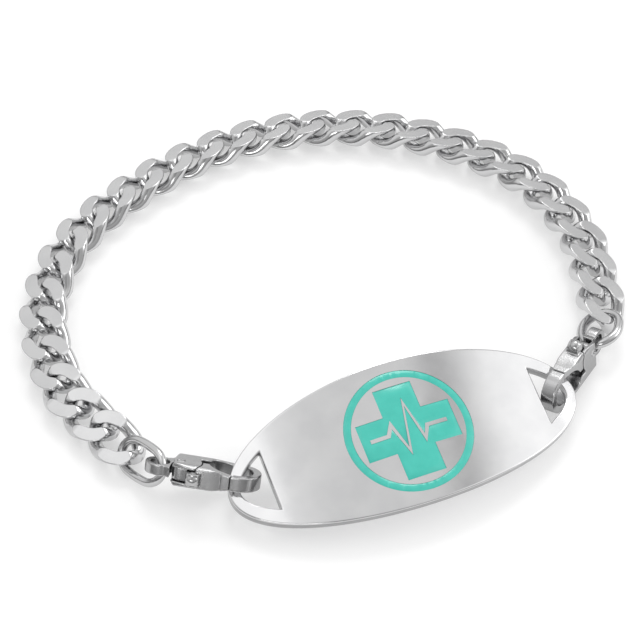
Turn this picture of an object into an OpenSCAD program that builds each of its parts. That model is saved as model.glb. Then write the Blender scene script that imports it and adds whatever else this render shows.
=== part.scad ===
// Medical alert bracelet: an oval tag and a flat curb chain, joined by a lobster clasp at each end.
// It lies closed on a table. Seen from above, the chain runs clockwise from the left clasp to the right.

/* [Tag] */
// Length of the tag from tip to tip, as bent
tag_l = 40.5; // [39:0.5:42]
// Width of the tag
tag_w = 16.8; // [16.4:0.1:17.2]
// Thickness of the tag
tag_t = 1.2; // [1.1:0.05:1.2]
// Radius that the tag is bent to, to follow the wrist
tag_bend_r = 65; // [62:1:68]
// Width of the bar beyond each slot, at the tip
bar_w = 1.2; // [1.1:0.05:1.2]
// Depth of each slot, from the bar to its straight side
slot_w = 3.3; // [3.3:0.1:3.6]
// Length of the straight side of each slot
slot_l = 6.9; // [6.8:0.1:7.2]

/* [Enamel] */
// Outer diameter of the enamel ring
ring_d = 14.2; // [13.4:0.1:14.6]
// Width of the enamel ring
ring_w = 0.85; // [0.6:0.05:1]
// Reach of the enamel cross from end to end
cross_l = 10.8; // [10.2:0.1:11]
// Width of each arm of the cross
cross_w = 4.4; // [3.8:0.1:4.8]
// Width of the bare pulse line in the cross
pulse_w = 0.45; // [0.35:0.05:0.6]
// Length of the pulse line
pulse_l = 8.4; // [7.4:0.1:9]
// Height of the pulse line, from its lowest point to its highest
pulse_h = 6.6; // [5:0.1:7.6]
// Depth of the enamel
enamel_d = 0.35; // [0.25:0.05:0.45]
// Gap between the enamel and its pocket
enamel_gap = 0.02; // [0.01:0.01:0.04]

/* [Chain] */
// Diameter of the wire of a curb link
wire_d = 1.6; // [1.55:0.01:1.62]
// Number of curb links
link_count = 28; // [27:1:29]
// Room beyond the wire's own diameter across the hole of a link
side_play = 0.8; // [0.75:0.05:0.85]
// Room along a link before its neighbour's wire meets its end
end_play = 0.2; // [0.18:0.01:0.22]
// Height that each half of a link stands above its middle, beyond half the wire
cross_play = 0.175; // [0.17:0.005:0.19]
// Thickness of the chain between its two filed faces
chain_t = 2.2; // [2.1:0.05:2.3]
// Tilt of the chain as it lies, outer edge down
chain_bank = 15; // [14:0.5:16]

/* [Clasps] */
// Length of a clasp
clasp_l = 12.6; // [12.5:0.1:12.7]
// Width of a clasp without its thumb nub
clasp_w = 4.9; // [4.8:0.1:5]
// Thickness of a clasp
clasp_t = 2.6; // [2.5:0.1:2.7]
// Width of metal round the mouth of a clasp
clasp_wall = 0.9; // [0.85:0.05:0.9]
// Length of the mouth of a clasp
mouth_l = 4.8; // [4.7:0.1:4.9]
// Thickness of the hook at its end
hook_t = 1.6; // [1.5:0.05:1.65]
// Height of the bevels along a clasp's back edges
back_bevel = 0.5; // [0.3:0.1:0.6]
// Height of the bevels along a clasp's lever-side edges
front_bevel = 0.25; // [0.15:0.05:0.3]
// Diameter of the hole in a clasp's tail
tail_hole_d = 2.1; // [2.1:0.05:2.2]
// Width of metal round the tail hole
tail_wall = 0.55; // [0.5:0.05:0.55]
// Thickness of the tail round its hole
tail_t = 1.2; // [1.1:0.05:1.25]
// Thickness of the lever between the cheeks of the clasp
lever_t = 1.4; // [1.2:0.1:1.5]
// Gap on each side of the lever
lever_gap = 0.1; // [0.06:0.01:0.14]
// Reach of the thumb nub beyond the clasp's side
nub_out = 0.95; // [0.7:0.05:1.1]
// Length of the thumb nub
nub_l = 1.6; // [1.4:0.1:1.8]
// Diameter of the lever's pin
pin_d = 0.8; // [0.7:0.05:0.9]
// Running clearance between the pin and the lever, on the radius
pin_clear = 0.03; // [0.02:0.01:0.05]
// Seat clearance between the pin and the cheeks, on the radius
pin_seat = 0.01; // [0.01:0.01:0.02]

/* [End rings] */
// Diameter of the left ring's wire
left_ring_wire = 1; // [0.9:0.05:1]
// Outer length of the left ring
left_ring_l = 7.8; // [7.75:0.05:7.85]
// Outer width of the left ring
left_ring_w = 4.8; // [4.75:0.05:4.85]
// Diameter of the right ring's wire
right_ring_wire = 1.1; // [1:0.05:1.1]
// Outer length of the right ring
right_ring_l = 6.5; // [6.45:0.05:6.55]
// Outer width of the right ring
right_ring_w = 5.5; // [5.45:0.05:5.55]

/* [Hidden] */
$fn = 64;
function link_name(i) = str("link_", i < 10 ? "0" : "", i);

function turn_x(p, a) = [p[0], p[1] * cos(a) - p[2] * sin(a), p[1] * sin(a) + p[2] * cos(a)];
function turn_y(p, a) = [p[0] * cos(a) + p[2] * sin(a), p[1], p[2] * cos(a) - p[0] * sin(a)];
function turn_z(p, a) = [p[0] * cos(a) - p[1] * sin(a), p[0] * sin(a) + p[1] * cos(a), p[2]];
function turned(p, by) = turn_z(turn_y(turn_x(p, by[0]), by[1]), by[2]);
function seen_from_above(p) = [p[0], p[1]];

// Outline of the tag, and the slots
tag_steps = 96;
slot_x = tag_l / 2 - bar_w - slot_w;
function oval(a, b, n) = [for (i = [0:n - 1]) [a * cos(360 * i / n), b * sin(360 * i / n)]];
function slot_curve(side) = [for (i = [-12:12]) let (u = i / 12)
  [side * (slot_x + slot_w * (1 - u * u)), u * slot_l / 2]];

// Clasp, lying in its own plane: tail at -x, hook at +x, lever on the +y side
mouth_w = clasp_w - 2 * clasp_wall;
mouth_end = clasp_l / 2 - clasp_wall;
mouth_start = mouth_end - mouth_l;
hook_x = mouth_end - mouth_w / 2;
tail_r = tail_hole_d / 2 + tail_wall;
tail_x = tail_r - clasp_l / 2;
pin_x = tail_x + tail_r + 0.75;
pin_y = 0.9;
cheek_r = mouth_start - 0.7 - pin_x;
gate_r = hook_x - 0.5 - pin_x;
nub_x = mouth_start - 1.3;
cavity_t = lever_t + 2 * lever_gap;
lens_h = clasp_l / 2 + 0.2;
lens_r = (lens_h * lens_h + clasp_w * clasp_w / 4) / clasp_w;

// Where the tag lies: centre of its upper face, and its tilt, roll and turn
tag_turn = [13.5, 0.3, 21.3];
bar_x = tag_l / 2 - bar_w / 2;
sag = tag_bend_r - sqrt(tag_bend_r * tag_bend_r - bar_x * bar_x);
bar_rise = 3.024;
tag_at = [9.29, -20.82, bar_rise + sag];
function bar_middle(side) = let (p = [side * bar_x, 0, -sag - tag_t / 2])
  tag_at + turn_z(turn_x(turn_y(p, tag_turn[1]), tag_turn[0]), tag_turn[2]);

// How each clasp is turned, and where its hook seats from the middle of the tag's bar
left_turn = [142.77, 2.59, -9.05];
right_turn = [100.71, -2.47, -122.7];
left_seat = [0.305, 1.943, 0.761];
right_seat = [-1.276, -0.217, 0.461];
left_at = bar_middle(-1) + left_seat - turned([hook_x, 0, 0], left_turn);
right_at = bar_middle(1) + right_seat - turned([hook_x, 0, 0], right_turn);

// How each end ring is turned, and where its near end hangs from the middle of the clasp's tail hole
left_ring_turn = [46.8, -16.1, -45];
right_ring_turn = [23.2, -10.1, -101.6];
left_hang = [0.235, -0.691, -0.434];
right_hang = [0.435, -0.45, 0.132];
left_ring_half = turned([(left_ring_l - left_ring_wire) / 2, 0, 0], left_ring_turn);
right_ring_half = turned([(right_ring_l - right_ring_wire) / 2, 0, 0], right_ring_turn);
left_ring_at = left_at + turned([tail_x, 0, 0], left_turn) + left_hang - left_ring_half;
right_ring_at = right_at + turned([tail_x, 0, 0], right_turn) + right_hang - right_ring_half;

// The chain's way on the table, seen from above, a few chosen points for these far ends of the two rings
route_base = [[-22.77, -19.1], [-29.14, -11.53], [-31.94, -0.46], [-28.94, 10.45], [-20.51, 19.74],
  [-10.2, 26], [1.45, 28.41], [13.38, 26.48], [24.15, 20.37], [30.24, 11.11], [32.12, 0.15]];
ends_base = [[-21.85, -19.98], [32.104, -1.146]];
left_out = seen_from_above(left_ring_at - left_ring_half) - ends_base[0];
right_out = seen_from_above(right_ring_at - right_ring_half) - ends_base[1];
route_n = len(route_base);
route = [for (i = [0:route_n - 1]) let (u = i / (route_n - 1))
    route_base[i] + (1 - u) * left_out + u * right_out];

// Curb link: a loop of wire with one half raised on each side, filed flat above and below
link_steps = 16;
wire_sides = 6;
fine = 12;
function spline(a, b, c, d, u) = 0.5 * ((2 * b) + (c - a) * u + (2 * a - 5 * b + 4 * c - d) * u * u
  + (3 * b - a - 3 * c + d) * u * u * u);
way = [for (i = [0:route_n - 2], j = [0:fine - 1])
    let (b = route[i], c = route[i + 1],
      a = i > 0 ? route[i - 1] : 2 * b - c,
      d = i < route_n - 2 ? route[i + 2] : 2 * c - b)
    spline(a, b, c, d, j / fine), route[route_n - 1]];
way_n = len(way);
function run(i, total) = i >= way_n ? []
  : let (s = total + norm(way[i] - way[i - 1])) concat([s], run(i + 1, s));
way_s = concat([0], run(1, 0));
way_l = way_s[way_n - 1];
pitch = way_l / (link_count - 1);
function step_of(s) = max([for (i = [0:way_n - 2]) way_s[i] <= s + 0.001 ? i : 0]);
function way_at(s) = let (i = step_of(s), u = (s - way_s[i]) / (way_s[i + 1] - way_s[i]))
  way[i] * (1 - u) + way[i + 1] * u;
function way_turn(s) = let (d = way_at(min(s + pitch / 2, way_l)) - way_at(max(s - pitch / 2, 0)))
  atan2(d[1], d[0]);

link_a = (pitch + wire_d + end_play) / 2;
link_b = wire_d + side_play / 2;
link_c = wire_d / 2 + cross_play;
function loop_pt(t) = [link_a * cos(t), link_b * sin(t), -link_c * sin(2 * t)];
function unit(v) = v / norm(v);
function filed(p) = [p[0], p[1], max(-chain_t / 2, min(chain_t / 2, p[2]))];
link_points = [for (i = [0:link_steps - 1])
    let (t = 360 * i / link_steps, c = loop_pt(t), d = unit(loop_pt(t + 1) - loop_pt(t - 1)),
      up = unit([0, 0, 1] - d * d[2]), out = cross(d, up))
    for (j = [0:wire_sides - 1]) let (a = 360 * (j + 0.5) / wire_sides)
      filed(c + wire_d / 2 * (cos(a) * out + sin(a) * up))];
link_faces = [for (i = [0:link_steps - 1], j = [0:wire_sides - 1], k = [0, 1])
    let (i2 = (i + 1) % link_steps, j2 = (j + 1) % wire_sides,
      a = i * wire_sides + j, b = i * wire_sides + j2, c = i2 * wire_sides + j2, d = i2 * wire_sides + j)
    k == 0 ? [a, b, c] : [a, c, d]];
link_low = -min([for (p = link_points) turn_x(p, -chain_bank)[2]]);

// The tag, its slots and its pockets
module on_tag() {
  translate(tag_at) rotate([0, 0, tag_turn[2]]) rotate([tag_turn[0], 0, 0]) rotate([0, tag_turn[1], 0])
    children();
}

module bent_layer(top, thick) {
  translate([0, 0, -tag_bend_r]) rotate([90, 0, 0]) difference() {
    cylinder(r = tag_bend_r + top, h = tag_w + 2, center = true, $fn = 360);
    cylinder(r = tag_bend_r + top - thick, h = tag_w + 4, center = true, $fn = 360);
  }
}

module stamped(low, high) {
  translate([0, 0, low]) linear_extrude(height = high - low) children();
}

module ring_shape(grow) {
  difference() {
    circle(d = ring_d + 2 * grow, $fn = 96);
    circle(d = ring_d - 2 * ring_w - 2 * grow, $fn = 96);
  }
}

pulse_way = [[-1, 0], [-0.56, 0], [-0.4, 0.36], [-0.16, -0.7], [0.12, 1], [0.34, -0.42], [0.5, 0], [1, 0]];
pulse_pts = [for (p = pulse_way) [p[0] * pulse_l / 2, p[1] * pulse_h / 2]];
pulse_n = len(pulse_pts);
function normal(i) = let (d = unit(pulse_pts[i + 1] - pulse_pts[i])) [-d[1], d[0]];
function mitre(i) = let (a = normal(max(i - 1, 0)), b = normal(min(i, pulse_n - 2)), m = unit(a + b))
  m * min(1 / (m * a), 2.2);
function cap(i) = i == 0 ? [-1, 0] : i == pulse_n - 1 ? [1, 0] : [0, 0];
function pulse_line(w) = concat([for (i = [0:pulse_n - 1]) pulse_pts[i] + (cap(i) + mitre(i)) * w / 2],
  [for (i = [pulse_n - 1:-1:0]) pulse_pts[i] + (cap(i) - mitre(i)) * w / 2]);

function cross_line(a, b) = [[a, b], [b, b], [b, a], [-b, a], [-b, b], [-a, b],
  [-a, -b], [-b, -b], [-b, -a], [b, -a], [b, -b], [a, -b]];

module cross_shape(grow) {
  difference() {
    polygon(cross_line(cross_l / 2 + grow, cross_w / 2 + grow));
    polygon(pulse_line(pulse_w - 2 * grow));
  }
}

module tag() {
  color("#d9dadb") on_tag() difference() {
    intersection() {
      bent_layer(0, tag_t);
      stamped(-tag_l / 4, 1) polygon(oval(tag_l / 2, tag_w / 2, tag_steps));
    }
    for (side = [-1, 1]) stamped(-tag_l / 4 - 1, 2) polygon(slot_curve(side));
    intersection() {
      bent_layer(1, 1 + enamel_d + enamel_gap);
      stamped(-2, 1) {
        ring_shape(enamel_gap);
        cross_shape(enamel_gap);
      }
    }
  }
}

module enamel_ring() {
  color("#56c9b8") on_tag() intersection() {
    bent_layer(0, enamel_d);
    stamped(-2, 1) ring_shape(0);
  }
}

module enamel_cross() {
  color("#56c9b8") on_tag() intersection() {
    bent_layer(0, enamel_d);
    stamped(-2, 1) cross_shape(0);
  }
}

// Clasp outline and mouth
module clasp_outline() {
  intersection() {
    translate([0.2, lens_r - clasp_w / 2]) circle(r = lens_r, $fn = 180);
    translate([0.2, clasp_w / 2 - lens_r]) circle(r = lens_r, $fn = 180);
    translate([-clasp_l / 2, -clasp_w]) square([clasp_l / 2 + hook_x - 1.5, 2 * clasp_w]);
  }
  translate([hook_x, 0]) circle(d = clasp_w, $fn = 96);
  translate([hook_x - 1.6, -clasp_w / 2]) square([1.6, clasp_w]);
  translate([tail_x, 0]) circle(r = tail_r);
}

module mouth_shape() {
  translate([hook_x, 0]) circle(d = mouth_w);
  translate([mouth_start + mouth_w / 2, 0]) circle(d = mouth_w);
  translate([mouth_start + mouth_w / 2, -mouth_w / 2]) square([mouth_l - mouth_w, mouth_w]);
}

// Part of the clasp's side that belongs to the gate, between two arcs about the pin
module gate_zone(inner, outer, floor_y) {
  intersection() {
    difference() {
      translate([pin_x, pin_y]) circle(r = outer, $fn = 120);
      translate([pin_x, pin_y]) circle(r = inner, $fn = 120);
    }
    translate([pin_x + 1, floor_y]) square([clasp_l, clasp_w]);
  }
}

// The clasp seen from its edge: thin at the tail, full in the middle, slimmer toward the hook's end
module side_form(less) {
  upper = [[-clasp_l, tail_t / 2 - less], [tail_x + 1.3, tail_t / 2 - less], [pin_x - 0.5, clasp_t / 2 - less],
    [mouth_start + 0.3, clasp_t / 2 - less], [hook_x - 0.65, hook_t / 2 - less], [clasp_l, hook_t / 2 - less]];
  lower = [for (i = [len(upper) - 1:-1:0]) [upper[i][0], -upper[i][1]]];
  rotate([90, 0, 0]) linear_extrude(height = 2 * clasp_w, center = true) polygon(concat(upper, lower));
}

// The clasp seen from its end: bevelled along its four long edges
module end_form() {
  back = clasp_t / 2 - back_bevel;
  front = clasp_t / 2 - front_bevel;
  rotate([90, 0, 90]) linear_extrude(height = 2 * clasp_l, center = true) polygon([
    [-clasp_w / 2, -back], [-clasp_w / 2 + 2 * back_bevel, -clasp_t / 2],
    [clasp_w / 2 - 2 * front_bevel, -clasp_t / 2], [clasp_w / 2, -front],
    [clasp_w / 2, front], [clasp_w / 2 - 2 * front_bevel, clasp_t / 2],
    [-clasp_w / 2 + 2 * back_bevel, clasp_t / 2], [-clasp_w / 2, back]]);
}

module clasp_body() {
  difference() {
    intersection() {
      linear_extrude(height = clasp_t, center = true) clasp_outline();
      side_form(0);
      end_form();
    }
    linear_extrude(height = 2 * clasp_t, center = true) {
      mouth_shape();
      gate_zone(cheek_r, gate_r + lever_gap, -0.4);
    }
    linear_extrude(height = cavity_t, center = true) polygon([
      [pin_x - 1.05, pin_y - 1], [pin_x, pin_y - 1.2], [pin_x + cheek_r + 0.5, -mouth_w / 2],
      [pin_x + cheek_r + 0.5, clasp_w], [pin_x - 1.05, clasp_w]]);
    translate([tail_x, 0, 0]) cylinder(d = tail_hole_d, h = 2 * clasp_t, center = true);
    translate([pin_x, pin_y, 0]) cylinder(r = pin_d / 2 + pin_seat, h = 2 * clasp_t, center = true);
  }
}

module clasp_lever() {
  difference() {
    union() {
      // Boss, web and thumb nub between the cheeks
      linear_extrude(height = lever_t, center = true) {
        translate([pin_x, pin_y]) circle(r = 0.85);
        polygon([[pin_x, pin_y - 0.75], [pin_x + cheek_r + 0.6, 0.75],
          [pin_x + cheek_r + 0.6, clasp_w / 2 - 0.15], [pin_x, pin_y + 0.8]]);
        translate([nub_x - nub_l / 2, 1]) square([nub_l, clasp_w / 2 + nub_out - 1 - nub_l / 2]);
        translate([nub_x, clasp_w / 2 + nub_out - nub_l / 2]) circle(d = nub_l);
      }
      // Gate, as thick as the hook
      intersection() {
        linear_extrude(height = clasp_t, center = true) difference() {
          intersection() {
            clasp_outline();
            gate_zone(cheek_r + lever_gap, gate_r, 0.45);
          }
          mouth_shape();
        }
        side_form(0.05);
        end_form();
      }
    }
    translate([pin_x, pin_y, 0]) cylinder(r = pin_d / 2 + pin_clear, h = 2 * clasp_t, center = true);
  }
}

module clasp_pin() {
  translate([pin_x, pin_y, 0]) cylinder(d = pin_d, h = clasp_t - 0.2, center = true);
}

module at_left() {
  translate(left_at) rotate(left_turn) children();
}

module at_right() {
  translate(right_at) rotate(right_turn) children();
}

module clasp_left() {
  color("#c4c5c6") at_left() clasp_body();
}

module lever_left() {
  color("#bfc0c1") at_left() clasp_lever();
}

module pin_left() {
  color("#b3b4b5") at_left() clasp_pin();
}

module clasp_right() {
  color("#c4c5c6") at_right() clasp_body();
}

module lever_right() {
  color("#bfc0c1") at_right() clasp_lever();
}

module pin_right() {
  color("#b3b4b5") at_right() clasp_pin();
}

// Oval rings of round wire, each between a clasp's tail and the nearest link
module oval_ring(long, wide, wire) {
  bend_r = (wide - wire) / 2;
  straight = long - wide;
  for (side = [-1, 1]) {
    translate([side * straight / 2, 0, 0]) rotate([0, 0, -90 * side]) rotate_extrude(angle = 180)
      translate([bend_r, 0]) circle(d = wire, $fn = 32);
    translate([0, side * bend_r, 0]) rotate([0, 90, 0])
      cylinder(d = wire, h = straight, center = true, $fn = 32);
  }
}

module ring_left() {
  color("#bcbdbe") translate(left_ring_at) rotate(left_ring_turn)
    oval_ring(left_ring_l, left_ring_w, left_ring_wire);
}

module ring_right() {
  color("#bcbdbe") translate(right_ring_at) rotate(right_ring_turn)
    oval_ring(right_ring_l, right_ring_w, right_ring_wire);
}

module curb_link(i) {
  s = (i - 1) * pitch;
  p = way_at(s);
  color("#b9babb") translate([p[0], p[1], link_low]) rotate([0, 0, way_turn(s)]) rotate([-chain_bank, 0, 0])
    polyhedron(points = link_points, faces = link_faces, convexity = 6);
}

tag();
enamel_ring();
enamel_cross();
clasp_left();
lever_left();
pin_left();
clasp_right();
lever_right();
pin_right();
ring_left();
ring_right();
for (i = [1:link_count]) curb_link(i);
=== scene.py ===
import math

import bmesh
import bpy
import numpy as np
from mathutils import Matrix, Vector
from mathutils.geometry import delaunay_2d_cdt


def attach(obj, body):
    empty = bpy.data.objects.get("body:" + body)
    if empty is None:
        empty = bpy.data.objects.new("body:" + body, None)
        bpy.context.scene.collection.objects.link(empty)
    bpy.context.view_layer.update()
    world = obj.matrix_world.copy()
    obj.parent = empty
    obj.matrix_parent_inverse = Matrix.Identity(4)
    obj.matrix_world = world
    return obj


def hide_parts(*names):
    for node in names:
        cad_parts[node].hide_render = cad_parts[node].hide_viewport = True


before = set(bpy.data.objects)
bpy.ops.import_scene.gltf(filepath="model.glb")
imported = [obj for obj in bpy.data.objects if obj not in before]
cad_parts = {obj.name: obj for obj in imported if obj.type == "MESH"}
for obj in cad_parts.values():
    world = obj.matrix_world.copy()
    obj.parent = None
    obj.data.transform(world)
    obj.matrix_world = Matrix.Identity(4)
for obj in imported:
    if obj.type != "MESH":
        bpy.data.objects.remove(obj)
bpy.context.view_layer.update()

# The bracelet's sizes are in millimetres, and its meshes are made in metres.
# The floor, the lamps and the distances in the materials are in metres.
MM = 0.001

# Camera at the photograph's angle and distance
AIM = Vector((-0.28, -0.72, 0)) * MM
CAMERA_RISE = math.radians(51)
CAMERA_FAR = 250.4 * MM
LENS = 122.1

# Tag: where it lies, its plate, and its slots with the bars at the tips
TAG_AT = Vector((9.29, -20.82, 6.07))
TAG_TILT, TAG_ROLL, TAG_YAW = (math.radians(a) for a in (13.5, 0.3, 21.3))
TAG_L, TAG_W, TAG_T = 40.5, 16.8, 1.2
BEND_R = 65
EDGE_R = 0.16
BAR_W, SLOT_W, SLOT_L = 1.2, 3.3, 6.9

# Artwork: ring, cross, bare pulse line, and how the enamel lies in its pockets
RING_D, RING_W = 14.2, 0.85
CROSS_L, CROSS_W = 10.8, 4.4
PULSE_W, PULSE_L, PULSE_H = 0.45, 8.4, 6.6
PULSE_WAY = [(-1, 0), (-0.56, 0), (-0.4, 0.36), (-0.16, -0.7), (0.12, 1), (0.34, -0.42), (0.5, 0), (1, 0)]
POCKET, ENAMEL_SUNK = 0.12, 0.03
RIM_W, RIM_DROP = 0.05, 0.03

# The tag's mesh: spacing of its inner points, steps round an edge, and a flat margin beside it
SHEET_STEP = 0.9
EDGE_STEPS = 5
EDGE_MARGIN = 0.06

# Chain: its way on the table as in the source, and the sizes of a link
ROUTE = [(-22.77, -19.1), (-29.14, -11.53), (-31.94, -0.46), (-28.94, 10.45), (-20.51, 19.74),
    (-10.2, 26), (1.45, 28.41), (13.38, 26.48), (24.15, 20.37), (30.24, 11.11), (32.12, 0.15)]
LINK_COUNT = 28
WIRE, SIDE_PLAY, END_PLAY, CROSS_PLAY = 1.6, 0.8, 0.2, 0.175
BANK = math.radians(15)
LINK_RISE = 1.678

# The links as shown: wire, thickness over the filed flats, and how squarely the wire climbs
SHOWN_WIRE, SHOWN_T, FLAT_RISE = 1.56, 2.08, 1.2

# A link's mesh: hoops along it, steps up each side of the wire, places across a filed flat,
# the most that a side reaches round the wire, as a sine, and its narrow step beside a flat
LINK_HOOPS, SIDE_STEPS = 96, 8
FLAT_PLACES = (0.06, 0.3, 0.5, 0.7, 0.94)
SIDE_REACH = math.sin(math.radians(82))
CORNER_STEP = math.radians(7)

# End rings: place, turn in degrees, outer length, outer width, wire
RINGS = {
    "ring_left": ((-19.54, -22.29, 2.38), (46.8, -16.1, -45), 7.8, 4.8, 1),
    "ring_right": ((31.57, -3.75, 2.16), (23.2, -10.1, -101.6), 6.5, 5.5, 1.1),
}
RING_SIDES = 24

# Clasps: place, and turn in degrees; and the round knob on each lever, in the clasp's own frame
CLASPS = {
    "left": ((-12.83, -24.65, 3.54), (142.77, 2.59, -9.05)),
    "right": ((28.06, -9.86, 2.7), (100.71, -2.47, -122.7)),
}
KNOB_AT, KNOB_R = (-0.7, 2.75, 0), 0.82

# How a cast piece is melted round: voxel size, and passes of smoothing
CLASP_SKIN, LEVER_SKIN = (0.06, 14), (0.05, 8)

# Lamps: place, size and power
LAMPS = {
    "back_softbox": ((0.1, 0.6, 0.78), (0.4, 0.3), 1.9),
    "right_softbox": ((0.85, 0.1, 0.5), (0.7, 0.42), 1.6),
    "overhead_left": ((-0.4, 0.1, 0.8), (0.4, 0.4), 0.2),
    "front_softbox": ((-0.3, -0.7, 0.5), (0.5, 0.2), 1.2),
}

# Brightness of the studio wall by place: 0 far left of the tag's mirror image, 1 far right
WALL = [(0.0, 0.95), (0.385, 1.06), (0.43, 0.94), (0.47, 0.88), (0.665, 0.86), (0.692, 0.6), (0.707, 0.56),
    (0.733, 0.74), (0.75, 0.96), (0.78, 1.22), (0.81, 1.38), (0.85, 1.42), (0.9, 1.2)]


# Small helpers

def make(name, points, faces, node, materials):
    """A mesh of the bracelet that stands for one CAD node. Points are in millimetres."""
    mesh = bpy.data.meshes.new(name)
    mesh.from_pydata([tuple(float(c) * MM for c in p) for p in points], [], faces)
    mesh.validate()
    for m in materials:
        mesh.materials.append(m)
    mesh.polygons.foreach_set("use_smooth", [True] * len(mesh.polygons))
    piece = bpy.data.objects.new(name, mesh)
    bpy.context.scene.collection.objects.link(piece)
    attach(piece, "bracelet")
    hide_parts(node)
    return piece


def sharpen(piece, degrees):
    """Marks the edges sharper than an angle, so that they stay crisp under smooth shading."""
    bm = bmesh.new()
    bm.from_mesh(piece.data)
    for edge in bm.edges:
        edge.smooth = len(edge.link_faces) == 2 and edge.calc_face_angle() < math.radians(degrees)
    bm.to_mesh(piece.data)
    bm.free()


def turned(turn):
    """A turn about x, then y, then z, given in degrees, as a matrix."""
    a, b, c = (math.radians(v) for v in turn)
    return Matrix.Rotation(c, 3, "Z") @ Matrix.Rotation(b, 3, "Y") @ Matrix.Rotation(a, 3, "X")


def hoops(n, sides):
    """Quads that join n hoops of points into a closed ring."""
    faces = []
    for i in range(n):
        for j in range(sides):
            i2, j2 = (i + 1) % n, (j + 1) % sides
            faces.append((i * sides + j, i * sides + j2, i2 * sides + j2, i2 * sides + j))
    return faces


def tube(path, radius, sides):
    """Points and faces of a round tube along a closed flat path."""
    path = np.array(path, float)
    n = len(path)
    ahead = np.roll(path, -1, 0) - np.roll(path, 1, 0)
    ahead /= np.linalg.norm(ahead, axis=1)[:, None]
    up = np.cross(ahead[0], ahead[n // 4])
    up /= np.linalg.norm(up)
    points = []
    for p, d in zip(path, ahead):
        side = np.cross(d, up)
        for j in range(sides):
            a = 2 * math.pi * j / sides
            points.append(p + radius * (math.cos(a) * side + math.sin(a) * up))
    return points, hoops(n, sides)


# Materials

class Nodes:
    """Short ways to add and join shader nodes."""

    def __init__(self, tree):
        self.tree = tree

    def add(self, kind, **settings):
        node = self.tree.nodes.new(kind)
        for key, value in settings.items():
            setattr(node, key, value)
        return node

    def join(self, a, out, b, into):
        self.tree.links.new(a.outputs[out], b.inputs[into])

    def noise(self, where, out, scale, detail, rough=0.5):
        node = self.add("ShaderNodeTexNoise")
        node.inputs["Scale"].default_value = scale
        node.inputs["Detail"].default_value = detail
        node.inputs["Roughness"].default_value = rough
        self.join(where, out, node, "Vector")
        return node

    def spread(self, source, out, low, high, start=0.3, end=0.7):
        """Maps start to end onto low to high."""
        node = self.add("ShaderNodeMapRange")
        node.inputs["From Min"].default_value = start
        node.inputs["From Max"].default_value = end
        node.inputs["To Min"].default_value = low
        node.inputs["To Max"].default_value = high
        self.join(source, out, node, "Value")
        return node

    def stretched(self, where, out, sizes, turn=(0, 0, 0)):
        node = self.add("ShaderNodeMapping")
        node.inputs["Scale"].default_value = sizes
        node.inputs["Rotation"].default_value = turn
        self.join(where, out, node, "Vector")
        return node

    def ramp(self, source, out, stops):
        """A colour ramp through the given places and colours."""
        node = self.add("ShaderNodeValToRGB")
        elements = node.color_ramp.elements
        while len(elements) < len(stops):
            elements.new(0.5)
        for element, (place, color) in zip(elements, stops):
            element.position = place
            element.color = (*color, 1)
        self.join(source, out, node, "Fac")
        return node

    def bump(self, noise, strength, distance, under=None):
        """A bump from a noise, on top of another bump if there is one."""
        node = self.add("ShaderNodeBump")
        node.inputs["Strength"].default_value = strength
        node.inputs["Distance"].default_value = distance
        self.join(noise, "Fac", node, "Height")
        if under:
            self.join(under, "Normal", node, "Normal")
        return node


def grey(tone):
    return (tone, tone, tone)


def material(name):
    m = bpy.data.materials.new(name)
    m.use_nodes = True
    return m, Nodes(m.node_tree), m.node_tree.nodes["Principled BSDF"]


def steel(name, tone, rough_low, rough_high, scratch, dent):
    """Polished steel with cloudy polish, fine scratches and a slight unevenness."""
    m, n, shader = material(name)
    shader.inputs["Metallic"].default_value = 1
    where = n.add("ShaderNodeTexCoord")
    clouds = n.noise(where, "Object", 900, 4)
    rough = n.spread(clouds, "Fac", rough_low, rough_high)
    n.join(rough, "Result", shader, "Roughness")
    patches = n.noise(where, "Object", 260, 3)
    dull = (tone * 0.93, tone * 0.93, tone * 0.94)
    color = n.ramp(patches, "Fac", [(0.35, dull), (0.65, (tone, tone, tone * 1.005))])
    n.join(color, "Color", shader, "Base Color")
    lines = n.stretched(where, "Object", (1, 14, 5), (0.5, 0.3, 0.7))
    scratches = n.noise(lines, "Vector", 2500, 2)
    unevenness = n.noise(where, "Object", 520, 2)
    fine = n.bump(scratches, scratch, 0.00002)
    broad = n.bump(unevenness, dent, 0.0001, fine)
    n.join(broad, "Normal", shader, "Normal")
    return m


def chain_steel(name, tone):
    """Steel wire: mirror-bright where it is round, satin where it is filed flat."""
    m = steel(name, tone, 0.09, 0.17, 0.12, 0.12)
    n = Nodes(m.node_tree)
    shader = m.node_tree.nodes["Principled BSDF"]
    polish = next(k for k in m.node_tree.nodes if k.type == "MAP_RANGE")
    filed = n.add("ShaderNodeAttribute", attribute_name="filed")
    satin = n.add("ShaderNodeMix", data_type="FLOAT")
    satin.inputs["B"].default_value = 0.24
    n.join(filed, "Fac", satin, "Factor")
    n.join(polish, "Result", satin, "A")
    n.join(satin, "Result", shader, "Roughness")
    return m


def clasp_steel(name, tone):
    """Cast steel, duller where it is seen at a grazing angle."""
    m = steel(name, tone, 0.2, 0.28, 0.15, 0.12)
    shader = m.node_tree.nodes["Principled BSDF"]
    shader.inputs["Specular Tint"].default_value = (0.65, 0.65, 0.65, 1)
    return m


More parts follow.
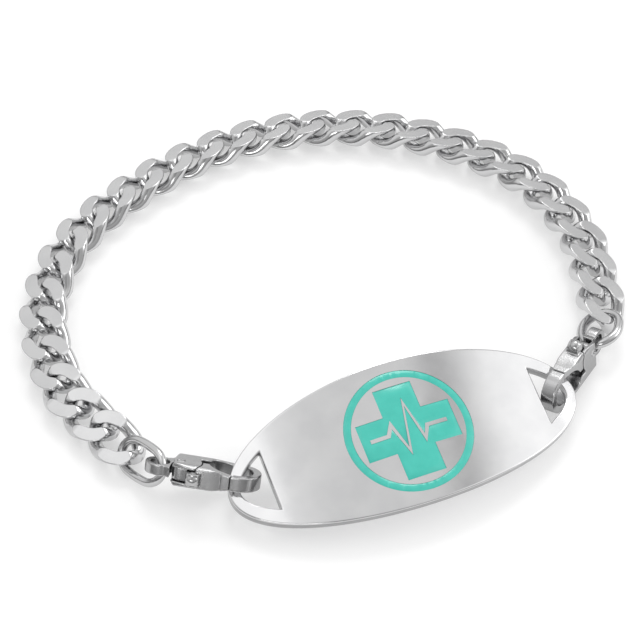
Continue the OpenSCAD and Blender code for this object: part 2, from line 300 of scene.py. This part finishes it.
def brushed_steel(name):
    """The back of the tag: lines brushed from tip to tip."""
    m, n, shader = material(name)
    shader.inputs["Metallic"].default_value = 1
    shader.inputs["Anisotropic"].default_value = 0.6
    plate = n.add("ShaderNodeUVMap", uv_map="plate")
    lines = n.stretched(plate, "UV", (0.25, 14, 1))
    grain = n.noise(lines, "Vector", 2.2, 5, 0.65)
    color = n.ramp(grain, "Fac", [(0.3, (0.5, 0.5, 0.51)), (0.7, (0.72, 0.72, 0.73))])
    n.join(color, "Color", shader, "Base Color")
    rough = n.spread(grain, "Fac", 0.24, 0.42)
    n.join(rough, "Result", shader, "Roughness")
    n.join(n.bump(grain, 0.35, 0.00002), "Normal", shader, "Normal")
    return m


def enamel(name):
    """Glossy teal enamel, faintly clouded, with a slightly uneven skin."""
    m, n, shader = material(name)
    shader.inputs["Roughness"].default_value = 0.25
    shader.inputs["Coat Weight"].default_value = 0.25
    shader.inputs["Coat Roughness"].default_value = 0.08
    where = n.add("ShaderNodeTexCoord")
    clouds = n.noise(where, "Object", 700, 4)
    color = n.ramp(clouds, "Fac", [(0.35, (0.05, 0.51, 0.42)), (0.65, (0.06, 0.55, 0.455))])
    n.join(color, "Color", shader, "Base Color")
    n.join(n.bump(clouds, 0.1, 0.00005), "Normal", shader, "Normal")
    return m


TAG_STEEL = steel("tag_polished", 0.68, 0.1, 0.13, 0.04, 0.01)
BACK_STEEL = brushed_steel("tag_back_brushed")
# The tag's side wall: the same steel with a darker tone, as painted shade on the wall
SHADED_EDGE_STEEL = steel("tag_edge_painted_shade", 0.38, 0.16, 0.26, 0.1, 0.04)
CHAIN_STEEL = chain_steel("chain_polished", 0.61)
RING_STEEL = steel("ring_polished", 0.56, 0.1, 0.18, 0.12, 0.1)
CLASP_STEEL = clasp_steel("clasp_polished", 0.47)
PIN_STEEL = steel("pin_satin", 0.55, 0.22, 0.32, 0.3, 0.2)
ENAMEL = enamel("enamel_teal")

# The tag's steels, and the places of their kinds in that list
TAG_STEELS = [TAG_STEEL, BACK_STEEL, SHADED_EDGE_STEEL]
FRONT, BACK, EDGE = 0, 1, 2


# Outlines on the flat tag. They all run anticlockwise.

def oval(a, b, n):
    return [(a * math.cos(2 * math.pi * i / n), b * math.sin(2 * math.pi * i / n)) for i in range(n)]


def slot_outline(side):
    """A slot, curved toward the tip and straight toward the middle: side 1 right, -1 left."""
    straight_x = TAG_L / 2 - BAR_W - SLOT_W
    steps, straight_steps = 28, 16
    curve = [(straight_x + SLOT_W * (1 - (i / steps) ** 2), i / steps * SLOT_L / 2)
        for i in range(-steps, steps + 1)]
    straight = [(straight_x, SLOT_L / 2 * (1 - 2 * i / straight_steps)) for i in range(1, straight_steps)]
    points = curve + straight
    return points if side > 0 else [(-x, y) for x, y in reversed(points)]


def cross_outline():
    a, b = CROSS_L / 2, CROSS_W / 2
    return [(a, b), (b, b), (b, a), (-b, a), (-b, b), (-a, b),
        (-a, -b), (-b, -b), (-b, -a), (b, -a), (b, -b), (a, -b)]


def mitred(first, second, most):
    """Ways out of corners between two normals, longer at sharp ones up to a limit."""
    mitre = first + second
    mitre /= np.linalg.norm(mitre, axis=1)[:, None]
    return mitre / np.maximum((mitre * first).sum(1), 1 / most)[:, None]


def grown(points, by):
    """An outline moved outward along its own normals."""
    p = np.array(points, float)
    d = np.roll(p, -1, 0) - p
    d /= np.linalg.norm(d, axis=1)[:, None]
    normal = np.stack([d[:, 1], -d[:, 0]], 1)
    return [tuple(q) for q in p + mitred(normal, np.roll(normal, 1, 0), 1.8) * by]


def pulse_outline():
    """The bare pulse line, as wide as PULSE_W, with mitred corners."""
    p = np.array([(x * PULSE_L / 2, y * PULSE_H / 2) for x, y in PULSE_WAY])
    d = np.diff(p, axis=0)
    d /= np.linalg.norm(d, axis=1)[:, None]
    normal = np.stack([-d[:, 1], d[:, 0]], 1)
    out = mitred(np.vstack([normal[:1], normal]), np.vstack([normal, normal[-1:]]), 2.2)
    ends = np.zeros_like(p)
    ends[0, 0], ends[-1, 0] = -1, 1
    upper = p + (ends + out) * PULSE_W / 2
    lower = p + (ends - out) * PULSE_W / 2
    return [tuple(q) for q in lower] + [tuple(q) for q in upper[::-1]]


OUTLINE = oval(TAG_L / 2, TAG_W / 2, 240)
SLOTS = [slot_outline(1), slot_outline(-1)]
RING_OUT, RING_IN = (oval(r, r, 128) for r in (RING_D / 2, RING_D / 2 - RING_W))
CROSS, PULSE = cross_outline(), pulse_outline()


def inside(points, x, y):
    """True if a point lies in an outline."""
    hit = False
    for (ax, ay), (bx, by) in zip(points, points[1:] + points[:1]):
        if (ay > y) != (by > y) and x < ax + (y - ay) / (by - ay) * (bx - ax):
            hit = not hit
    return hit


def between(outer, inner, x, y):
    return inside(outer, x, y) and not inside(inner, x, y)


def in_artwork(x, y):
    return RING_D / 2 - RING_W < math.hypot(x, y) < RING_D / 2 or between(CROSS, PULSE, x, y)


def sheet(outlines, keep):
    """A triangulated flat sheet: its points, and the triangles whose middles keep() accepts."""
    points, edges = [], []
    for outline in outlines:
        start = len(points)
        points += [Vector(p) for p in outline]
        edges += [(start + i, start + (i + 1) % len(outline)) for i in range(len(outline))]
    across = int(TAG_L / SHEET_STEP)
    rows = int(TAG_W / SHEET_STEP)
    for i in range(-across // 2, across // 2 + 1):
        for j in range(-rows // 2, rows // 2 + 1):
            points.append(Vector(((i + 0.5 * (j % 2)) * SHEET_STEP, j * SHEET_STEP)))
    verts, _, faces, _, _, _ = delaunay_2d_cdt(points, edges, [], 0, 1e-4)
    kept = []
    for f in faces:
        x = sum(verts[k][0] for k in f) / 3
        y = sum(verts[k][1] for k in f) / 3
        if keep(x, y):
            kept.append(tuple(f))
    return [tuple(v) for v in verts], kept


# Tag and enamel: shells on the flat tag, bent and laid in place

TAG_TURN = (Matrix.Rotation(TAG_YAW, 3, "Z") @ Matrix.Rotation(TAG_TILT, 3, "X")
    @ Matrix.Rotation(TAG_ROLL, 3, "Y"))


def on_tag(x, y, depth):
    """A point of the tag at a depth below its bent upper face."""
    r = BEND_R - depth
    return TAG_AT + TAG_TURN @ Vector((x, y, math.sqrt(r * r - x * x) - BEND_R))


class Shell:
    """Collects points and faces, and welds points that share a place."""

    def __init__(self):
        self.points, self.faces, self.kinds, self.seen = [], [], [], {}

    def point(self, x, y, depth):
        key = (round(x, 4), round(y, 4), round(depth, 4))
        if key not in self.seen:
            self.seen[key] = len(self.points)
            self.points.append(key)
        return self.seen[key]

    def face(self, corners, kind):
        ids = [self.point(*c) for c in corners]
        if len(set(ids)) == len(ids):
            self.faces.append(ids)
            self.kinds.append(kind)

    def band(self, upper, upper_depth, lower, lower_depth, kind=FRONT):
        """A strip between two outlines of as many points."""
        n = len(upper)
        for i in range(n):
            a, b = upper[i], upper[(i + 1) % n]
            c, d = lower[(i + 1) % n], lower[i]
            self.face([(*b, upper_depth), (*a, upper_depth), (*d, lower_depth), (*c, lower_depth)], kind)

    def lay(self, outlines, keep, depth, kind=FRONT, faces_down=False):
        """Adds a flat sheet at a depth."""
        verts, faces = sheet(outlines, keep)
        for f in faces:
            self.face([(*verts[k], depth) for k in (reversed(f) if faces_down else f)], kind)

    def placed(self):
        """Its points, bent and laid in the tag's place."""
        return [on_tag(*p) for p in self.points]


def rounded_wall(shell, outline, inward):
    """Adds a plate's side wall with both its edges rounded. Returns the line where its face begins."""
    angles = [math.pi / 2 * i / EDGE_STEPS for i in range(EDGE_STEPS + 1)]
    profile = [(EDGE_R * (1 - math.sin(a)), EDGE_R * (1 - math.cos(a))) for a in angles]
    rings = [(grown(outline, -inward * (EDGE_R + EDGE_MARGIN)), 0)]
    rings += [(grown(outline, -inward * inset), depth) for inset, depth in profile]
    rings += [(points, TAG_T - depth) for points, depth in reversed(rings)]
    for (a, da), (b, db) in zip(rings, rings[1:]):
        # The long middle band of each wall takes the darker edge steel: painted shade
        kind = EDGE if db - da > TAG_T / 2 else FRONT
        if inward > 0:
            shell.band(a, da, b, db, kind)
        else:
            shell.band(b, db, a, da, kind)
    return rings[0][0]


def build_tag():
    shell = Shell()
    top_line = rounded_wall(shell, OUTLINE, 1)
    slot_lines = [rounded_wall(shell, slot, -1) for slot in SLOTS]

    def metal(x, y):
        return inside(top_line, x, y) and not any(inside(s, x, y) for s in slot_lines)

    def bare(x, y):
        return metal(x, y) and not in_artwork(x, y)

    shell.lay([top_line, *slot_lines, RING_OUT, RING_IN, CROSS, PULSE], bare, 0)
    for outer, inner in ((RING_OUT, RING_IN), (CROSS, PULSE)):
        shell.band(outer, POCKET, outer, 0)
        shell.band(inner, 0, inner, POCKET)
    shell.lay([top_line, *slot_lines], metal, TAG_T, BACK, faces_down=True)
    tag = make("tag_plate", shell.placed(), shell.faces, "tag", TAG_STEELS)
    tag.data.polygons.foreach_set("material_index", shell.kinds)
    plate = tag.data.uv_layers.new(name="plate")
    for loop in tag.data.loops:
        x, y, _ = shell.points[loop.vertex_index]
        plate.data[loop.index].uv = (x, y)
    sharpen(tag, 35)


def build_enamel(node, outer, inner):
    """Enamel in its pocket: a skin just below the steel, turned down at its rim."""
    shell = Shell()
    low = ENAMEL_SUNK + RIM_DROP
    outer_rim, inner_rim = grown(outer, -RIM_W), grown(inner, RIM_W)
    shell.band(outer_rim, ENAMEL_SUNK, outer, low)
    shell.band(outer, low, outer, POCKET)
    shell.band(inner, low, inner_rim, ENAMEL_SUNK)
    shell.band(inner, POCKET, inner, low)
    shell.lay([outer_rim, inner_rim], lambda x, y: between(outer_rim, inner_rim, x, y), ENAMEL_SUNK)
    shell.lay([outer, inner], lambda x, y: between(outer, inner, x, y), POCKET, faces_down=True)
    piece = make(node + "_fill", shell.placed(), shell.faces, node, [ENAMEL])
    sharpen(piece, 50)


# Chain

def spline(a, b, c, d, u):
    """A smooth way from b to c, with a before them and d behind."""
    return 0.5 * ((2 * b) + (c - a) * u + (2 * a - 5 * b + 4 * c - d) * u * u
        + (3 * b - a - 3 * c + d) * u ** 3)


def chain_way():
    """Fine points along the chain's way, and the length run at each."""
    r = np.array(ROUTE, float)
    n = len(r)
    parts = 12
    points = []
    for i in range(n - 1):
        b, c = r[i], r[i + 1]
        a = r[i - 1] if i > 0 else 2 * b - c
        d = r[i + 2] if i < n - 2 else 2 * c - b
        points += [spline(a, b, c, d, j / parts) for j in range(parts)]
    points.append(r[-1])
    points = np.array(points)
    run = np.concatenate([[0], np.cumsum(np.linalg.norm(np.diff(points, axis=0), axis=1))])
    return points, run


WAY, RUN = chain_way()
PITCH = RUN[-1] / (LINK_COUNT - 1)


def way_at(s):
    return np.array([np.interp(s, RUN, WAY[:, 0]), np.interp(s, RUN, WAY[:, 1])])


def link_middle(t):
    """The middle of a link's wire at an angle round the link."""
    a = (PITCH + WIRE + END_PLAY) / 2
    b = WIRE + SIDE_PLAY / 2
    c = WIRE / 2 + CROSS_PLAY
    rise = math.tanh(FLAT_RISE * math.sin(2 * t)) / math.tanh(FLAT_RISE)
    return np.array([a * math.cos(t), b * math.sin(t), -c * rise])


def curb_link():
    """Points and quads of one link about its own middle, and how far each point is filed."""
    r = SHOWN_WIRE / 2
    half = SHOWN_T / 2
    points, filed = [], []
    for i in range(LINK_HOOPS):
        t = 2 * math.pi * i / LINK_HOOPS
        ahead = link_middle(t + 0.01) - link_middle(t - 0.01)
        ahead /= np.linalg.norm(ahead)
        up = np.array([0, 0, 1]) - ahead * ahead[2]
        up /= np.linalg.norm(up)
        out = np.cross(ahead, up)
        mid = link_middle(t)
        top = min((half - mid[2]) / (r * up[2]), SIDE_REACH)
        low = max((-half - mid[2]) / (r * up[2]), -SIDE_REACH)
        high_a, low_a = math.asin(top), math.asin(low)
        corner = min(CORNER_STEP, (high_a - low_a) / 6)
        step = (high_a - low_a - 2 * corner) / (SIDE_STEPS - 2)
        angles = [low_a] + [low_a + corner + step * k for k in range(SIDE_STEPS - 1)] + [high_a]
        right = [(r * math.cos(v), r * math.sin(v), 0) for v in angles]
        over = [(r * math.cos(high_a) * (1 - 2 * f), r * top, float(top < SIDE_REACH)) for f in FLAT_PLACES]
        left = [(-x, z, f) for x, z, f in reversed(right)]
        under = [(-r * math.cos(low_a) * (1 - 2 * f), r * low, float(low > -SIDE_REACH)) for f in FLAT_PLACES]
        for x, z, f in right + over + left + under:
            points.append(mid + x * out + z * up)
            filed.append(f)
    return np.array(points), hoops(LINK_HOOPS, len(points) // LINK_HOOPS), filed


def build_chain():
    points, faces, filed = curb_link()
    lean = np.array(Matrix.Rotation(-BANK, 3, "X"))
    points = points @ lean.T
    for i in range(LINK_COUNT):
        s = i * PITCH
        x, y = way_at(s)
        d = way_at(min(s + PITCH / 2, RUN[-1])) - way_at(max(s - PITCH / 2, 0))
        turn = np.array(Matrix.Rotation(math.atan2(d[1], d[0]), 3, "Z"))
        node = f"link_{i + 1:02d}"
        placed = points @ turn.T + [x, y, LINK_RISE]
        link = make(f"curb_{node}", placed, faces, node, [CHAIN_STEEL])
        mark = link.data.attributes.new("filed", "FLOAT", "POINT")
        mark.data.foreach_set("value", filed)


# End rings

def settled(x, y, a, b):
    """A point half way from a straight-sided loop to the ellipse of its size, as bent wire settles."""
    t = math.atan2(y * a, x * b)
    return (x + a * math.cos(t)) / 2, (y + b * math.sin(t)) / 2


def build_rings():
    for node, (at, turn, long, wide, wire) in RINGS.items():
        bend = (wide - wire) / 2
        straight = (long - wide) / 2
        half = [(straight + bend * math.cos(a), bend * math.sin(a))
            for a in np.linspace(-math.pi / 2, math.pi / 2, 33)]
        half += [(straight * (1 - k / 4), bend) for k in range(1, 8)]
        path = [settled(x, y, straight + bend, bend) for x, y in half]
        path += [(-x, -y) for x, y in path]
        placed = [Vector(at) + turned(turn) @ Vector((x, y, 0)) for x, y in path]
        points, faces = tube(placed, wire / 2, RING_SIDES)
        make(node + "_wire", points, faces, node, [RING_STEEL])


# Clasps: the CAD forms, with their edges melted round as on a cast and tumbled clasp

def add_knob(piece, at):
    """Joins a ball to a piece, at a place in the piece's own frame in metres."""
    bm = bmesh.new()
    bm.from_mesh(piece.data)
    bmesh.ops.create_icosphere(bm, subdivisions=4, radius=KNOB_R * MM, matrix=Matrix.Translation(at))
    bm.to_mesh(piece.data)
    bm.free()


def build_cast(node, body, skin, knob=None):
    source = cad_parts[node]
    piece = bpy.data.objects.new(node + "_cast", source.data.copy())
    bpy.context.scene.collection.objects.link(piece)
    if knob:
        add_knob(piece, source.matrix_world.inverted() @ (knob * MM))
    piece.data.materials.clear()
    piece.data.materials.append(CLASP_STEEL)
    voxel, passes = skin
    remesh = piece.modifiers.new("skin", "REMESH")
    remesh.mode = "VOXEL"
    remesh.voxel_size = voxel * MM
    remesh.use_smooth_shade = True
    soften = piece.modifiers.new("soften", "SMOOTH")
    soften.factor = 0.5
    soften.iterations = passes
    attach(piece, body)
    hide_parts(node)


def build_clasps():
    for side, (at, turn) in CLASPS.items():
        build_cast("clasp_" + side, "bracelet", CLASP_SKIN)
        knob = Vector(at) + turned(turn) @ Vector(KNOB_AT)
        build_cast("lever_" + side, "gate_" + side, LEVER_SKIN, knob)
        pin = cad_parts["pin_" + side]
        pin.data.materials.clear()
        pin.data.materials.append(PIN_STEEL)


# Surroundings

def build_floor():
    bpy.ops.mesh.primitive_plane_add(size=4)
    floor = bpy.context.object
    floor.name = "floor"
    m, n, shader = material("floor_white")
    shader.inputs["Roughness"].default_value = 0.6
    shader.inputs["Emission Color"].default_value = (1, 1, 1, 1)
    shader.inputs["Emission Strength"].default_value = 0.4
    where = n.add("ShaderNodeTexCoord")
    clouds = n.noise(where, "Object", 30, 3)
    color = n.ramp(clouds, "Fac", [(0, grey(0.59)), (1, grey(0.61))])
    n.join(color, "Color", shader, "Base Color")
    floor.data.materials.append(m)


def build_world():
    """A pale studio, dim near the table and behind the camera. Toward the right of the tag's
    mirror image a darker strip ends at a brighter wall."""
    world = bpy.data.worlds.new("studio")
    bpy.context.scene.world = world
    world.use_nodes = True
    n = Nodes(world.node_tree)
    back = world.node_tree.nodes["Background"]
    where = n.add("ShaderNodeTexCoord")
    split = n.add("ShaderNodeSeparateXYZ")
    n.join(where, "Generated", split, "Vector")
    rise = n.spread(split, "Z", low=0.22, high=1, start=0.04, end=0.32)
    depth = n.spread(split, "Y", low=0.45, high=1, start=-0.6, end=0.1)
    rise.interpolation_type = depth.interpolation_type = "SMOOTHSTEP"
    along = n.add("ShaderNodeVectorMath", operation="DOT_PRODUCT")
    along.inputs[1].default_value = TAG_TURN @ Vector((1, -1, 0))
    n.join(where, "Generated", along, 0)
    place = n.spread(along, "Value", low=0, high=1, start=-1.33, end=0.67)
    wall = n.ramp(place, "Result", [(at, grey(tone)) for at, tone in WALL])
    shade = n.add("ShaderNodeMath", operation="MULTIPLY")
    n.join(rise, "Result", shade, 0)
    n.join(depth, "Result", shade, 1)
    tone = n.add("ShaderNodeVectorMath", operation="SCALE")
    n.join(wall, "Color", tone, "Vector")
    n.join(shade, "Value", tone, "Scale")
    n.join(tone, "Vector", back, "Color")
    back.inputs["Strength"].default_value = 1.0


def build_lamps():
    """Softboxes that all face the middle of the bracelet."""
    for name, (at, size, watts) in LAMPS.items():
        light = bpy.data.lights.new(name, "AREA")
        light.shape = "RECTANGLE"
        light.size, light.size_y = size
        light.energy = watts
        lamp = bpy.data.objects.new(name, light)
        lamp.location = at
        lamp.rotation_euler = (-Vector(at)).to_track_quat("-Z", "Y").to_euler()
        bpy.context.scene.collection.objects.link(lamp)


def build_camera():
    data = bpy.data.cameras.new("photo_camera")
    data.lens = LENS
    data.clip_start, data.clip_end = 0.01, 10
    camera = bpy.data.objects.new("photo_camera", data)
    toward = Vector((0, math.cos(CAMERA_RISE), -math.sin(CAMERA_RISE)))
    camera.location = AIM - toward * CAMERA_FAR
    camera.rotation_euler = toward.to_track_quat("-Z", "Y").to_euler()
    bpy.context.scene.collection.objects.link(camera)
    bpy.context.scene.camera = camera


build_camera()
build_floor()
build_world()
build_lamps()
bpy.context.scene.view_settings.view_transform = "Standard"

build_tag()
build_enamel("enamel_ring", RING_OUT, RING_IN)
build_enamel("enamel_cross", CROSS, PULSE)
build_chain()
build_rings()
build_clasps()
